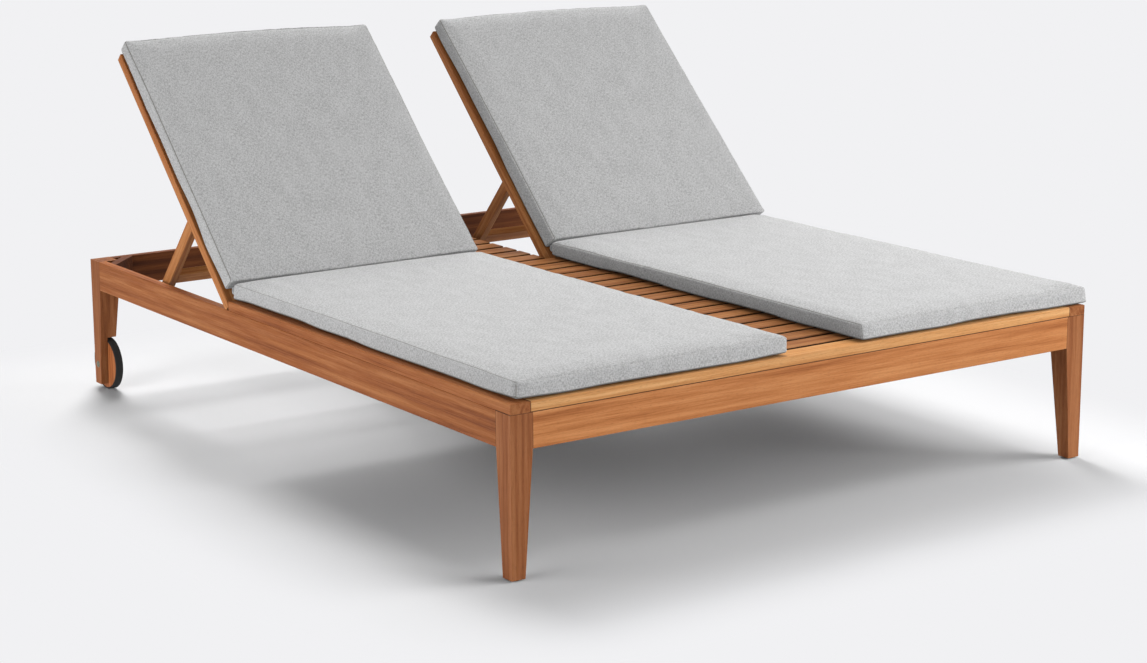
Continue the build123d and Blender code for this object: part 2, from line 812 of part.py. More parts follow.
def build_back(side, name):
    """One reclining back with its cushion and its prop."""
    bottom_span, top_span = rail_spans()
    save(f"outer_stile_{name}", stile(side, True))
    save(f"inner_stile_{name}", stile(side, False))
    save(f"bottom_rail_{name}", back_rail(side, bottom_span))
    save(f"top_rail_{name}", back_rail(side, top_span))
    save(f"back_slats_{name}", back_slats(side))
    save(f"prop_bearer_{name}", prop_bearer(side))
    save(f"hinge_bolts_{name}", hinge_bolts(side))
    save(f"prop_bolts_{name}", prop_bolts(side))
    save(f"back_cushion_{name}", back_cushion(side))
    save(f"outer_prop_bar_{name}", prop_bar(side, True))
    save(f"inner_prop_bar_{name}", prop_bar(side, False))
    save(f"prop_cross_rail_{name}", prop_cross_rail(side))


def build_wheel(side, name):
    """One wheel."""
    save(f"wheel_hub_{name}", wheel_hub(side))
    save(f"wheel_tyre_{name}", wheel_tyre(side))
    save(f"wheel_bush_{name}", wheel_bush(side))


build_frame()
for side, name in ((-1, "left"), (1, "right")):
    build_back(side, name)
    build_wheel(side, name)

print("hinge y, z:", round(hinge_y, 3), round(hinge_z, 3))
print("prop pivot y, z:", round(pivot_y, 3), round(pivot_z, 3))
print("prop length, foot y, ratio:", round(prop_length, 3), round(foot_y, 3), round(prop_ratio, 5))
print("axle y, z:", round(axle_y, 3), round(axle_height, 3))
print("front y, rear y:", round(front_y, 3), round(rear_y, 3))
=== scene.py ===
# Double sun lounger in oiled eucalyptus with grey cushions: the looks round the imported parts
import json
import math

import bmesh
import bpy
import numpy as np
from mathutils import Matrix, Vector


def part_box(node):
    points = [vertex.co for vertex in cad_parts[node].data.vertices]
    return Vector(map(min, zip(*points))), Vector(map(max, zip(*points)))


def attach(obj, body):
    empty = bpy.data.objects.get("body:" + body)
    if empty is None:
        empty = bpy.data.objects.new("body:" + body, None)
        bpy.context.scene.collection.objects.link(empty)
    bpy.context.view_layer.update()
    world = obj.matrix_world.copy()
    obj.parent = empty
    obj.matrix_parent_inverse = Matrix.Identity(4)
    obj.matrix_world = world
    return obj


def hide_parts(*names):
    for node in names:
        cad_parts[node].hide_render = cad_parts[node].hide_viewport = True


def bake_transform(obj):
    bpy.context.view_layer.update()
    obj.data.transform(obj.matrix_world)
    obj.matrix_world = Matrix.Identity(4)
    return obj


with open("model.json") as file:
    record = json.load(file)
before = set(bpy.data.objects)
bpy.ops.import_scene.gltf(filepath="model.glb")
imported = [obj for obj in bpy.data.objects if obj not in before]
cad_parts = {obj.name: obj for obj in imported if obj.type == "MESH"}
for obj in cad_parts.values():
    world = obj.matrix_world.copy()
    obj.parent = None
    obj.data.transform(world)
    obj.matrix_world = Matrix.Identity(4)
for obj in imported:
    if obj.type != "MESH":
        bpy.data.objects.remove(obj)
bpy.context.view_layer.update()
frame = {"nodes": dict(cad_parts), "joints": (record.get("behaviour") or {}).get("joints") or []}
nodes = frame["nodes"]
scene = bpy.context.scene
joints = {joint["name"]: joint for joint in frame["joints"]}
hinge = Vector(joints["left_back_tilt"]["pos_m"])
print("frame loaded:", len(nodes), "nodes")


# one sRGB hex colour as linear red, green, blue and alpha
def toLinear(hexText):
    values = [int(hexText[i:i + 2], 16) / 255 for i in (1, 3, 5)]
    return [v / 12.92 if v < 0.04045 else ((v + 0.055) / 1.055) ** 2.4 for v in values] + [1.0]


# adds one node: plain settings first, then each input gets a value or a link
def addNode(tree, kind, settings=None, inputs=None, stops=None):
    node = tree.nodes.new(kind)
    for key, value in (settings or {}).items():
        setattr(node, key, value)
    for key, value in (inputs or {}).items():
        socket = node.inputs[key]
        if isinstance(value, bpy.types.NodeSocket):
            tree.links.new(value, socket)
        else:
            socket.default_value = value
    for i, (place, colour) in enumerate(stops or []):
        element = node.color_ramp.elements[i] if i < 2 else node.color_ramp.elements.new(place)
        element.position = place
        element.color = colour
    return node


# one arithmetic node on numbers
def mathOf(tree, operation, *values, clamp=False):
    settings = {"operation": operation, "use_clamp": clamp}
    return addNode(tree, "ShaderNodeMath", settings, dict(enumerate(values))).outputs[0]


# one arithmetic node on vectors: gives the output of that name
def vectorOf(tree, operation, *values, gives="Vector"):
    settings = {"operation": operation}
    return addNode(tree, "ShaderNodeVectorMath", settings, dict(enumerate(values))).outputs[gives]


# a value between low and high, spread from toLow to toHigh and held beyond them
def rangeOf(tree, value, low, high, toLow=0.0, toHigh=1.0, curve="SMOOTHSTEP"):
    return addNode(tree, "ShaderNodeMapRange", {"interpolation_type": curve}, {
        "Value": value, "From Min": low, "From Max": high, "To Min": toLow,
        "To Max": toHigh}).outputs["Result"]


def noiseOf(tree, place, detail, scale=1.0, roughness=0.5, distortion=0.0):
    return addNode(tree, "ShaderNodeTexNoise", {}, {
        "Vector": place, "Scale": scale, "Detail": detail, "Roughness": roughness,
        "Distortion": distortion}).outputs["Fac"]


# two numbers blended: share is the part of the second
def blendOf(tree, a, b, share):
    return addNode(tree, "ShaderNodeMix", {"data_type": "FLOAT"}, {"Factor": share, 2: a, 3: b}).outputs[0]


# the same for two colours
def tintOf(tree, a, b, share):
    return addNode(tree, "ShaderNodeMix", {"data_type": "RGBA"}, {"Factor": share, 6: a, 7: b}).outputs[2]


# a value turned into a colour; the first two stops become the ramp's two ends
def rampOf(tree, value, stops):
    return addNode(tree, "ShaderNodeValToRGB", {}, {"Fac": value}, stops).outputs["Color"]


def addBump(tree, shader, height, strength, distance):
    bump = addNode(tree, "ShaderNodeBump", {}, {
        "Height": height, "Strength": strength, "Distance": distance})
    tree.links.new(bump.outputs["Normal"], shader.inputs["Normal"])


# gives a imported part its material
def dress(name, material):
    nodes[name].data.materials.clear()
    nodes[name].data.materials.append(material)


def addPiece(name, data):
    piece = bpy.data.objects.new(name, data)
    scene.collection.objects.link(piece)
    return piece


# applies what a piece's modifiers do
def settle(piece):
    mesh = bpy.data.meshes.new_from_object(piece.evaluated_get(bpy.context.evaluated_depsgraph_get()))
    piece.modifiers.clear()
    piece.data = mesh
    return mesh


def newMaterial(name):
    material = bpy.data.materials.new(name)
    material.use_nodes = True
    tree = material.node_tree
    shader = tree.nodes["Principled BSDF"]
    return material, tree, shader


# the wood of every board, bar and block
woodLook = {
    "ringWidth": 0.0110,        # growth rings of plantation eucalyptus, in metres
    "ringStretch": 0.030,       # rings wander this much less along a board than across it
    "ringDistortion": 7.0,
    "streakAcross": 0.021,      # broad paler and redder streaks
    "streakAlong": 0.48,
    "bandAcross": 0.0075,       # narrower streaks inside them
    "bandAlong": 0.24,
    "fibreAcross": 0.0022,      # real fibres are 0.3 mm apart: drawn coarser so that they show
    "fibreAlong": 0.09,
    "poreAcross": 0.0010,       # short dark vessel lines, also drawn coarse
    "poreAlong": 0.012,
    "poreFrom": 0.36,           # below poreFrom the noise is a pore, above poreTo it is plain wood
    "poreTo": 0.44,
    "poreTone": 0.86,
    "wanderAcross": 0.3,        # size of the slow change of tone down each board
    "wanderAlong": 0.9,
    "bandShare": 0.28,          # parts of bands, rings and fibres in the figure
    "ringShare": 0.10,
    "fibreShare": 0.27,
    "darkAt": 0.34,             # values of the figure that take the dark, main and pale colour
    "mainAt": 0.48,
    "paleAt": 0.62,
    "boardTone": (0.84, 1.16),  # range of tone from board to board and down each board
    "boardShift": (3.0, 0.06, 0.06),  # furthest that the figure of a board in a row is moved
    "roughness": (0.52, 0.68),  # thin oil on planed and sanded wood: smoother where fibres are pale
    "fibreRange": (0.3, 0.7),
    "lightBend": 1.48,          # index of refraction of the oil
    "specular": 0.22,
    "bump": 0.00018,
    "endGrain": 0.84,           # tone of the sawn ends
    "endFacing": (0.80, 0.95),  # how squarely a face has to look along the board to count as an end
    "jointWidth": 0.0008,       # half the dark hairline where two boards meet
    "jointFade": (0.8, 1.6),    # it fades between these shares of its width
    "jointDark": 0.20,
    "paintedGapShade": 0.06,           # painted shade: the faces between the slats of a row are darkened to this share of their tone, nearly black
    "gapFacing": (0.75, 0.95),
    "bounce": 0.92,             # how much of the wood's colour is kept out of the light it throws on
}

# planed eucalyptus under a thin oil: pale, main and dark streak colours of each kind of board; besides the
# boards' own tone, some kinds hold painted shade and are darker where those parts stand in shade
woodTones = {
    "deck": ("#E0AB72", "#CF9258", "#B2713B"),
    # slats: darker as painted shade between the cushions
    "slats": ("#AE7747", "#915B31", "#6D3E1D"),
    "apron": ("#D4915A", "#C07A45", "#9F5C2E"),
    # side aprons and side deck boards: darker as painted shade on the sides
    "side": ("#B37343", "#9C5B2F", "#7D421D"),
    # legs: darker as painted shade under the rails
    "leg": ("#A86C42", "#94572F", "#794221"),
    "back": ("#C98A53", "#B16E3B", "#8D5027"),
    # parts under the deck: much darker as painted shade
    "inner": ("#7C4520", "#623213", "#46200B"),
    "wheel": ("#C27A48", "#A96034", "#83441F"),
}


# heart: the board's place along its log and away from the log's middle
# boards: (direction, start, pitch) where one node holds a row of boards, so that each gets its own figure and
# the faces between them get painted shade
# seams: (direction, place) of the hairlines where this board meets the next
def makeWood(name, tone, along, heart, boards=None, seams=()):
    material, tree, shader = newMaterial(name)
    look = woodLook
    pale, main, dark = [toLinear(c) for c in woodTones[tone]]
    coord = addNode(tree, "ShaderNodeTexCoord").outputs
    turn = Vector(along).rotation_difference(Vector((1, 0, 0))).to_euler()
    place = addNode(tree, "ShaderNodeMapping", {}, {
        "Vector": coord["Object"], "Rotation": turn, "Location": heart}).outputs["Vector"]
    toneShift = 0.5
    if boards:
        direction, start, pitch = boards
        step = vectorOf(tree, "DOT_PRODUCT", coord["Object"], Vector(direction) / pitch, gives="Value")
        number = mathOf(tree, "FLOOR", mathOf(tree, "SUBTRACT", step, start / pitch))
        chance = addNode(tree, "ShaderNodeTexWhiteNoise", {"noise_dimensions": "1D"}, {"W": number}).outputs
        place = vectorOf(tree, "ADD", place, vectorOf(tree, "MULTIPLY", chance["Color"], look["boardShift"]))
        toneShift = chance["Value"]

    # noise drawn out along the board
    def grain(across, alongSize, detail, distortion=0.0):
        stretched = vectorOf(tree, "MULTIPLY", place, (1 / alongSize, 1 / across, 1 / across))
        return noiseOf(tree, stretched, detail, roughness=0.55, distortion=distortion)

    # how squarely a face looks along a direction, from 0 to 1
    def facing(direction):
        return mathOf(tree, "ABSOLUTE",
                      vectorOf(tree, "DOT_PRODUCT", coord["Normal"], direction, gives="Value"))

    # at scale 1 the wave texture draws a ring every 2 pi / 20
    rings = addNode(tree, "ShaderNodeTexWave", {"wave_type": "RINGS", "rings_direction": "X"}, {
        "Vector": vectorOf(tree, "MULTIPLY", place, (look["ringStretch"], 1, 1)),
        "Scale": 2 * math.pi / 20 / look["ringWidth"], "Distortion": look["ringDistortion"],
        "Detail": 3.0, "Detail Scale": 0.45, "Detail Roughness": 0.62}).outputs["Fac"]
    streaks = grain(look["streakAcross"], look["streakAlong"], detail=4.0, distortion=0.5)
    bands = grain(look["bandAcross"], look["bandAlong"], detail=3.0, distortion=0.4)
    fibres = grain(look["fibreAcross"], look["fibreAlong"], detail=3.0)
    pores = grain(look["poreAcross"], look["poreAlong"], detail=1.0)
    wander = grain(look["wanderAcross"], look["wanderAlong"], detail=1.0)
    figure = blendOf(tree, streaks, bands, look["bandShare"])
    figure = blendOf(tree, figure, rings, look["ringShare"])
    figure = blendOf(tree, figure, fibres, look["fibreShare"])
    colour = rampOf(tree, figure, [
        (look["darkAt"], dark), (look["paleAt"], pale), (look["mainAt"], main)])
    shade = mathOf(tree, "MULTIPLY",
                   rangeOf(tree, pores, look["poreFrom"], look["poreTo"], look["poreTone"], 1.0),
                   rangeOf(tree, blendOf(tree, toneShift, wander, 0.5), 0.0, 1.0, *look["boardTone"]))
    ends = rangeOf(tree, facing(Vector(along).normalized()), *look["endFacing"], 1.0, look["endGrain"])
    shade = mathOf(tree, "MULTIPLY", shade, ends)
    if boards:
        # painted shade between the slats: faces turned along the row are darkened
        paintedGapShading = rangeOf(tree, facing(direction), *look["gapFacing"], 1.0, look["paintedGapShade"])
        shade = mathOf(tree, "MULTIPLY", shade, paintedGapShading)
    for direction, where in seams:
        spot = vectorOf(tree, "DOT_PRODUCT", coord["Object"], direction, gives="Value")
        away = mathOf(tree, "ABSOLUTE", mathOf(tree, "SUBTRACT", spot, where))
        low, high = [look["jointWidth"] * share for share in look["jointFade"]]
        shade = mathOf(tree, "MULTIPLY", shade, rangeOf(tree, away, low, high, look["jointDark"], 1.0))
    tinted = addNode(tree, "ShaderNodeVectorMath", {"operation": "SCALE"}, {
        0: colour, "Scale": shade}).outputs["Vector"]
    # light that bounces off the wood loses most of the wood's colour
    bounced = addNode(tree, "ShaderNodeLightPath").outputs["Is Diffuse Ray"]
    plain = addNode(tree, "ShaderNodeRGBToBW", {}, {"Color": tinted}).outputs["Val"]
    tinted = tintOf(tree, tinted, plain, mathOf(tree, "MULTIPLY", bounced, look["bounce"]))
    tree.links.new(tinted, shader.inputs["Base Color"])
    rough = rangeOf(tree, fibres, *look["fibreRange"], *reversed(look["roughness"]))
    tree.links.new(rough, shader.inputs["Roughness"])
    addBump(tree, shader, blendOf(tree, fibres, pores, share=0.4), strength=0.6, distance=look["bump"])
    shader.inputs["IOR"].default_value = look["lightBend"]
    shader.inputs["Specular IOR Level"].default_value = look["specular"]
    return material


acrossX, alongY, upZ = (1, 0, 0), (0, 1, 0), (0, 0, 1)
restTilt, propSlope = math.radians(45), math.radians(48.6)
alongBack = (0, math.cos(restTilt), math.sin(restTilt))
alongProp = (0, math.cos(propSlope), -math.sin(propSlope))

# rows of slats: where the first cell starts and how far apart the cells are
seatGap, seatPitch = 0.0125, 0.064
seatRow = {"first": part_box("seat_slats")[0].y - seatGap / 2, "pitch": seatPitch}
headRow = {"first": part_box("centre_slats")[0].y - seatGap / 2, "pitch": seatPitch}
slatCount, slatWide, slatThick = 10, 0.0515, 0.012
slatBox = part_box("back_slats_left")
# the box of a tilted row also holds a slat's thickness, which is taken off its length
rowLong = (slatBox[1].y - slatBox[0].y) / math.cos(restTilt) - slatThick
lowPoint = Vector((0, slatBox[0].y + slatThick * math.sin(restTilt), slatBox[0].z))
backPitch = (rowLong - slatWide) / (slatCount - 1)
backRow = {"first": lowPoint.dot(Vector(alongBack)) - (backPitch - slatWide) / 2, "pitch": backPitch}

# hairlines: under the front deck board, over the legs, and beside the front legs
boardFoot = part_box("deck_board_front")[0].z
boardEnd = 0.7515
legInner, legBack = -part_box("leg_front_left")[1].x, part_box("leg_front_left")[1].y
frontJoints = ((upZ, boardFoot), (acrossX, legInner), (acrossX, -legInner))
boardJoints = ((upZ, boardFoot), (acrossX, boardEnd), (acrossX, -boardEnd))
legJoint = ((upZ, boardFoot),)

# node: kind of board, direction of its grain, and where it has them its row of boards and hairlines
woodParts = {
    "apron_front": ("apron", acrossX, None, frontJoints),
    "apron_rear": ("inner", acrossX),
    "deck_board_front": ("deck", acrossX, None, boardJoints),
    "centre_cleats": ("inner", alongY),
    "seat_slats": ("slats", acrossX, (alongY, seatRow["first"], seatRow["pitch"])),
    "centre_slats": ("slats", acrossX, (alongY, headRow["first"], headRow["pitch"])),
    "corner_blocks": ("inner", acrossX, (acrossX, 0.0, 3.0)),
}
sideParts = {
    "apron": ("side", alongY, None, ((alongY, legBack),)),
    "deck_board": ("side", alongY),
    "leg_front": ("leg", upZ, None, legJoint),
    "leg_rear": ("leg", upZ),
    "slat_cleat": ("inner", alongY),
    "hinge_rail": ("inner", acrossX),
    "centre_beam": ("inner", alongY),
    "prop_racks": ("inner", alongY),
    "outer_stile": ("back", alongBack),
    "inner_stile": ("back", alongBack),
    "bottom_rail": ("back", acrossX),
    "top_rail": ("back", acrossX),
    "back_slats": ("back", acrossX, (alongBack, backRow["first"], backRow["pitch"])),
    "prop_bearer": ("inner", acrossX),
    "outer_prop_bar": ("back", alongProp),
    "inner_prop_bar": ("back", alongProp),
    "prop_cross_rail": ("back", acrossX),
    "wheel_hub": ("wheel", upZ),
}
woodParts.update({f"{name}_{side}": row for name, row in sideParts.items() for side in ("left", "right")})
hearts = np.random.default_rng(4)
for name in sorted(woodParts):
    tone, along, *rest = woodParts[name]
    heart = (hearts.uniform(-9, 9), hearts.uniform(0.03, 0.10), hearts.uniform(0.05, 0.16))
    dress(name, makeWood("oiledEucalyptus_" + name, tone, along, heart, *rest))
print("wood done:", len(woodParts), "boards and rows")


# stainless fasteners, cold headed and tumbled: soft reflections with a faint cloudy surface
steelLook = {"dark": "#5E5F52", "light": "#828373", "cloud": 0.003, "roughness": (0.26, 0.46)}


def makeSteel(name):
    material, tree, shader = newMaterial(name)
    look = steelLook
    place = addNode(tree, "ShaderNodeTexCoord").outputs["Object"]
    cloud = noiseOf(tree, place, detail=3.0, scale=1 / look["cloud"])
    rough = rangeOf(tree, cloud, 0.0, 1.0, *look["roughness"], curve="LINEAR")
    tree.links.new(rough, shader.inputs["Roughness"])
    tint = rampOf(tree, cloud, [(0.3, toLinear(look["dark"])), (0.7, toLinear(look["light"]))])
    tree.links.new(tint, shader.inputs["Base Color"])
    shader.inputs["Metallic"].default_value = 1.0
    return material


# moulded rubber or nylon: near black, dull, with a fine moulding grain
def makeMoulded(name, low, high, roughness, grain):
    material, tree, shader = newMaterial(name)
    place = addNode(tree, "ShaderNodeTexCoord").outputs["Object"]
    speck = noiseOf(tree, place, detail=2.0, scale=1 / grain)
    tint = rampOf(tree, speck, [(0.3, toLinear(low)), (0.7, toLinear(high))])
    tree.links.new(tint, shader.inputs["Base Color"])
    addBump(tree, shader, speck, strength=0.5, distance=0.0002)
    shader.inputs["Roughness"].default_value = roughness
    return material


steel = makeSteel("stainlessSteelTumbled")
rubber = makeMoulded("blackRubberMoulded", "#100F0E", "#191715", roughness=0.78, grain=0.0012)
nylon = makeMoulded("blackNylonMoulded", "#1B1B1C", "#262627", roughness=0.45, grain=0.0016)
plainParts = {"corner_bolts": steel, "axle_bolts": steel, "hinge_brackets": steel, "leg_glides": nylon}
for side in ("left", "right"):
    plainParts.update({f"hinge_bolts_{side}": steel, f"prop_bolts_{side}": steel,
                       f"wheel_bush_{side}": nylon, f"wheel_tyre_{side}": rubber})
for name, material in plainParts.items():
    dress(name, material)
print("fittings done")


# small countersunk screws with a cross recess, seen from below and inside
screwLook = {
    "headWidth": 0.0076,
    "headHeight": 0.0011,
    "recessWidth": 0.0011,
    "recessLong": 0.0048,
    "proud": 0.0004,
    "slats": 18,                # seat slats, then the short slats at the head end
    "headSlats": 12,
    "cleatInset": 0.006,        # inward from the middle of the side cleats
    "centreX": 0.098,           # on the centre cleats
    "rackX": (0.143, 0.766),    # on the inner and outer rack
    "rackEnd": 0.03,
}


# a tree that puts one screw head on every point of a mesh, turned to the point's facing
def screwTree(name, material):
    tree = bpy.data.node_groups.new(name, "GeometryNodeTree")
    tree.interface.new_socket(name="Places", in_out="INPUT", socket_type="NodeSocketGeometry")
    for label in ("Head Width", "Head Height", "Recess Width", "Recess Long"):
        tree.interface.new_socket(name=label, in_out="INPUT", socket_type="NodeSocketFloat")
    tree.interface.new_socket(name="Screws", in_out="OUTPUT", socket_type="NodeSocketGeometry")
    given = addNode(tree, "NodeGroupInput").outputs
    radius = mathOf(tree, "MULTIPLY", given["Head Width"], 0.5)
    head = addNode(tree, "GeometryNodeMeshCylinder", {}, {
        "Vertices": 24, "Radius": radius, "Depth": given["Head Height"]}).outputs["Mesh"]
    for along, across in (("Recess Long", "Recess Width"), ("Recess Width", "Recess Long")):
        size = addNode(tree, "ShaderNodeCombineXYZ", {}, {
            "X": given[along], "Y": given[across], "Z": given["Head Height"]}).outputs["Vector"]
        slot = addNode(tree, "GeometryNodeMeshCube", {}, {"Size": size}).outputs["Mesh"]
        lift = addNode(tree, "ShaderNodeCombineXYZ", {}, {"Z": given["Recess Width"]}).outputs["Vector"]
        slot = addNode(tree, "GeometryNodeTransform", {}, {"Geometry": slot, "Translation": lift}).outputs[0]
        head = addNode(tree, "GeometryNodeMeshBoolean", {"operation": "DIFFERENCE"}, {
            "Mesh 1": head, "Mesh 2": slot}).outputs["Mesh"]
    facing = addNode(tree, "GeometryNodeInputNamedAttribute", {"data_type": "FLOAT_VECTOR"}, {
        "Name": "facing"}).outputs[0]
    turned = addNode(tree, "FunctionNodeAlignRotationToVector", {"axis": "Z"}, {
        "Vector": facing}).outputs[0]
    placed = addNode(tree, "GeometryNodeInstanceOnPoints", {}, {
        "Points": given["Places"], "Instance": head, "Rotation": turned}).outputs["Instances"]
    real = addNode(tree, "GeometryNodeRealizeInstances", {}, {"Geometry": placed}).outputs[0]
    finished = addNode(tree, "GeometryNodeSetMaterial", {}, {
        "Geometry": real, "Material": material}).outputs[0]
    addNode(tree, "NodeGroupOutput", {}, {"Screws": finished})
    return tree


# places: (point, direction that the head faces); each point lies on the wood
def addScrews(name, tree, places, body):
    look = screwLook
    mesh = bpy.data.meshes.new(name)
    sink = look["headHeight"] / 2 - look["proud"]
    mesh.from_pydata([Vector(p) - Vector(d) * sink for p, d in places], [], [])
    layer = mesh.attributes.new("facing", "FLOAT_VECTOR", "POINT")
    layer.data.foreach_set("vector", [c for p, d in places for c in d])
    piece = addPiece(name, mesh)
    modifier = piece.modifiers.new("screws", "NODES")
    modifier.node_group = tree
    sizes = {"Head Width": look["headWidth"], "Head Height": look["headHeight"],
             "Recess Width": look["recessWidth"], "Recess Long": look["recessLong"]}
    for item in tree.interface.items_tree:
        if item.name in sizes:
            modifier[item.identifier] = sizes[item.name]
    bpy.context.view_layer.update()
    settle(piece)
    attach(piece, body)
    return piece


screws = screwTree("countersunkScrews", steel)
down = (0, 0, -1)
slatMiddles = [seatRow["first"] + seatRow["pitch"] * (n + 0.5) for n in range(screwLook["slats"])]
headMiddles = [headRow["first"] + headRow["pitch"] * (n + 0.5) for n in range(screwLook["headSlats"])]
places = []
for side in ("left", "right"):
    sign = -1 if side == "left" else 1
    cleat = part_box(f"slat_cleat_{side}")
    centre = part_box("centre_cleats")
    cleatX = (cleat[0].x + cleat[1].x) / 2 - sign * screwLook["cleatInset"]
    places += [((cleatX, y, cleat[0].z), down) for y in slatMiddles if cleat[0].y < y < cleat[1].y]
    places += [((sign * screwLook["centreX"], y, centre[0].z), down) for y in slatMiddles + headMiddles
               if centre[0].y < y < centre[1].y]
    rack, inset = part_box(f"prop_racks_{side}"), screwLook["rackEnd"]
    places += [((sign * x, y, rack[0].z), down) for x in screwLook["rackX"]
               for y in (rack[0].y + inset, (rack[0].y + rack[1].y) / 2, rack[1].y - inset)]
screwPiece = addScrews("cleatScrews", screws, places, "frame")
print("screws done:", len(places), "heads,", len(screwPiece.data.polygons), "faces")


# the cushion cloth
clothLook = {
    "pale": "#C9C9C9",      # undyed yarn
    "mid": "#B9B9B9",
    "grey": "#A4A4A4",      # grey yarn
    "greyAt": 0.415,        # values of the mottle that take the three greys
    "midAt": 0.49,
    "paleAt": 0.565,
    "thread": 0.0016,       # real threads are 0.7 mm apart: drawn coarser so that they show
    "threadHeight": 0.30,
    "slubWide": 0.0021,     # thick and thin places of the yarn
    "slubLong": 0.0068,
    "weftShare": 0.42,      # parts of the weft and of the larger patches in the mottle
    "patchShare": 0.12,
    "patchWide": 0.030,
    "patchLong": 0.075,
    # seam colour, which also paints shade: along the bottom edges it stands in for the shadow in the gap
    # under the cushion, and in the tuck for the shade in its fold
    "seamAndShade": "#83817C",
    "seamAndShadeFade": (0.40, 0.95),   # the seam colour, with its painted shade, comes in between these values of the attribute
    "bump": 0.0006,
}


# solution-dyed outdoor cloth in two yarns, plain weave: a soft mottle along the warp, matt, faint fuzz
def makeCloth(name):
    material, tree, shader = newMaterial(name)
    look = clothLook
    uv = addNode(tree, "ShaderNodeUVMap", {"uv_map": "weave"}).outputs["UV"]

    def field(across, along, detail):
        stretched = vectorOf(tree, "MULTIPLY", uv, (1 / across, 1 / along, 1))
        return noiseOf(tree, stretched, detail, roughness=0.6)

    warp = field(look["slubWide"], look["slubLong"], detail=1.0)
    weft = field(look["slubLong"], look["slubWide"], detail=1.0)
    patch = field(look["patchWide"], look["patchLong"], detail=2.0)
    mixed = blendOf(tree, blendOf(tree, warp, weft, look["weftShare"]), patch, look["patchShare"])
    colour = rampOf(tree, mixed, [
        (look["greyAt"], toLinear(look["grey"])), (look["paleAt"], toLinear(look["pale"])),
        (look["midAt"], toLinear(look["mid"]))])
    # the seams take the seam colour, and so do the painted shadow along the bottom edges and the painted
    # shade in the tuck
    seamAndShade = addNode(tree, "ShaderNodeAttribute", {"attribute_name": "seamAndShade"}).outputs["Fac"]
    sewnAndShaded = tintOf(tree, colour, toLinear(look["seamAndShade"]), rangeOf(tree, seamAndShade, *look["seamAndShadeFade"]))
    tree.links.new(sewnAndShaded, shader.inputs["Base Color"])
    split = addNode(tree, "ShaderNodeSeparateXYZ", {}, {"Vector": uv}).outputs

    def threads(axis):
        return mathOf(tree, "SINE", mathOf(tree, "MULTIPLY", split[axis], math.pi / look["thread"]))

    cross = mathOf(tree, "MULTIPLY", threads("X"), threads("Y"))
    height = mathOf(tree, "MULTIPLY_ADD", cross, look["threadHeight"], mixed)
    addBump(tree, shader, height, strength=0.5, distance=look["bump"])
    shader.inputs["Roughness"].default_value = 0.92
    shader.inputs["Specular IOR Level"].default_value = 0.25
    shader.inputs["Sheen Weight"].default_value = 0.10
    shader.inputs["Sheen Roughness"].default_value = 0.5
    return material


cloth = makeCloth("outdoorClothTwoYarn")


# boxed cushions: sewn along the long sides and the foot, rolled over at both ends
cushionLook = {
    "cell": 0.0105,         # size of the mesh before it is subdivided
    "seamRow": 0.003,       # first row of mesh on each side of a seam, and the next one's distance
    "nextRow": 0.006,
    "bandRows": (0.0105, 0.0180, 0.0250),  # heights of the middle rows between the two seams
    "bandTop": 0.0085,      # the row above them, measured down from the top edge
    "cornerNear": 0.008,    # corner radius in plan
    "cornerFar": 0.009,
    "crown": 0.0060,        # how much higher the middle is when it is cut
    "crownReach": 0.026,    # over this distance from the edge
    "dropNear": 1.0,        # how much of the crown is lost at each end
    "dropFar": 1.0,
    "topSeam": 1.0,         # how clearly each seam shows: above 1 its line is wider, not deeper
    # painted shadow: the two bottom seams are set high, so that their grey line widens into a band for the
    # shadow in the gap under the cushion
    "nearSeam": 3.2,
    "hemSeam": 3.2,
    "cornerSeam": 0.85,
    "joinSeam": 0.45,
    "bulge": 0.0010,        # of the long sides, and this share of it at the ends
    "bulgeEnd": 0.5,
    "drawIn": 0.0020,       # the long sides pull in between the corners
    "bowReach": 0.12,
    "rollCorner": 0.0045,   # the ends are nearly sharp at their corners
    "rollReach": 0.055,
    "underLift": 0.0058,    # the bottom seam stands this much off the slats
    "liftReach": 0.022,
    "liftWander": 0.6,
    "liftLength": 0.11,
    "lip": 0.0010,          # the bottom seam's own thickness
    "lipReach": 0.003,
    "leanReach": 0.03,
    "quality": 4,           # steps of the simulation in one frame
    "mass": 0.4,
    "tension": 22,
    "shear": 8,
    "bending": 2.5,
    "pressure": 1.6,
    "frames": 20,
    "capTop": 0.0035,       # furthest that the cloth may move from the cut shape
    "capSide": 0.0015,
    "capUsed": 0.6,         # share of it that the sides are expected to swell
    "groove": 0.0013,
    "rollUp": 0.0006,
    "pucker": 0.0008,
    "puckerLength": 0.019,
    "puckerReach": 0.016,
    "puckerWander": 0.11,   # over this length it varies between its least share and the whole
    "puckerLeast": 0.35,
    "seamCalm": 0.6,        # share of it that a seam's own thread holds down
    "underShare": 0.4,      # share of it on the underside
    "slow": 0.0012,         # height of the broad waves in the cover
    "slowAcross": 0.17,
    "slowAlong": 0.21,
    "edgeWave": 0.0011,     # the top edge rises and falls by this much
    "edgeWaveLength": 0.15,
    "edgeWaveFrom": 0.02,   # points below this height stay
    "tuck": 0.0,            # how deep the cloth is tucked in at the near left corner
    "tuckAt": 0.0080,
    "tuckWide": 0.0062,
    "tuckFoot": 0.25,       # it grows over this share of the height, and ends below the top edge
    "tuckHead": 0.2,
    "tuckTop": 1.02,
    # painted shade in the tuck's fold, as a share of the seam colour
    "tuckSeam": 0.82,
    "creases": (),          # (place, width, height) of folds across the left side
}
seatLook = dict(cushionLook, edge=0.041, rollNear=0.015, rollFar=0.008, lean=0.006, bowNear=-0.0035,
                bowFar=0.0, dropFar=0.15)
backLook = dict(cushionLook, edge=0.038, rollNear=0.002, rollFar=0.014, lean=0.0, bowNear=0.004,
                bowFar=0.010, dropNear=0.0, cornerNear=0.003, nearSeam=0.0)

